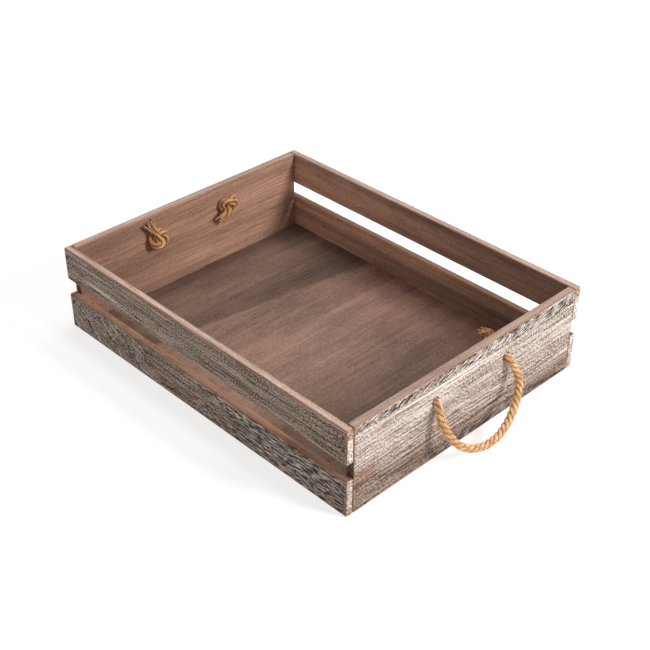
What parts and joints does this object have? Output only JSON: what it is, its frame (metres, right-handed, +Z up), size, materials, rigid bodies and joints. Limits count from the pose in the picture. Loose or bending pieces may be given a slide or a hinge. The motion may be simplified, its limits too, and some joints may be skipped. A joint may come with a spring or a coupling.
{
  "type": "shipping crate",
  "caption": "Low open-topped slatted wooden crate with full-height end boards, a thin bottom and a knotted rope handle through each end.",
  "frame": {"origin": "on the floor, under the middle of the crate", "axes": "+Z up, X along the crate's long side, the front end board at +X"},
  "size_m": [0.4908, 0.326, 0.0975],
  "materials": {
    "weathered_wood": "torched, wire-brushed and whitewashed outside, plain brown stain inside",
    "bottom_wood": "thin stained sheet, matt",
    "jute_rope": "three-strand twisted natural fibre, dry and hairy",
    "brad_steel": "dull dark nail heads"
  },
  "bodies": {
    "crate": {"end_board_front": "weathered_wood", "end_board_back": "weathered_wood", "slat_lower_left": "weathered_wood", "slat_upper_left": "weathered_wood", "slat_lower_right": "weathered_wood", "slat_upper_right": "weathered_wood", "bottom_panel": "bottom_wood", "brad_lower_left_front_a": "brad_steel", "brad_lower_left_front_b": "brad_steel", "brad_lower_left_back_a": "brad_steel", "brad_lower_left_back_b": "brad_steel", "brad_upper_left_front_a": "brad_steel", "brad_upper_left_front_b": "brad_steel", "brad_upper_left_back_a": "brad_steel", "brad_upper_left_back_b": "brad_steel", "brad_lower_right_front_a": "brad_steel", "brad_lower_right_front_b": "brad_steel", "brad_lower_right_back_a": "brad_steel", "brad_lower_right_back_b": "brad_steel", "brad_upper_right_front_a": "brad_steel", "brad_upper_right_front_b": "brad_steel", "brad_upper_right_back_a": "brad_steel", "brad_upper_right_back_b": "brad_steel", "pin_front_a": "brad_steel", "pin_front_b": "brad_steel", "pin_back_a": "brad_steel", "pin_back_b": "brad_steel", "pin_left_a": "brad_steel", "pin_left_b": "brad_steel", "pin_left_c": "brad_steel", "pin_right_a": "brad_steel", "pin_right_b": "brad_steel", "pin_right_c": "brad_steel", "knot_front_left": "jute_rope", "knot_front_right": "jute_rope", "knot_back_left": "jute_rope", "knot_back_right": "jute_rope"},
    "handle_front": {"rope_loop_front": "jute_rope"},
    "handle_back": {"rope_loop_back": "jute_rope"}
  },
  "joints": [
    {"name": "front_handle_swing", "type": "hinge", "parent": "crate", "child": "handle_front", "pos_m": [0.2142, 0, 0.0665], "axis": [0, -1, 0], "range_deg": [-18, 150]},
    {"name": "back_handle_swing", "type": "hinge", "parent": "crate", "child": "handle_back", "pos_m": [-0.2142, 0, 0.0665], "axis": [0, 1, 0], "range_deg": [-18, 150]}
  ]
}
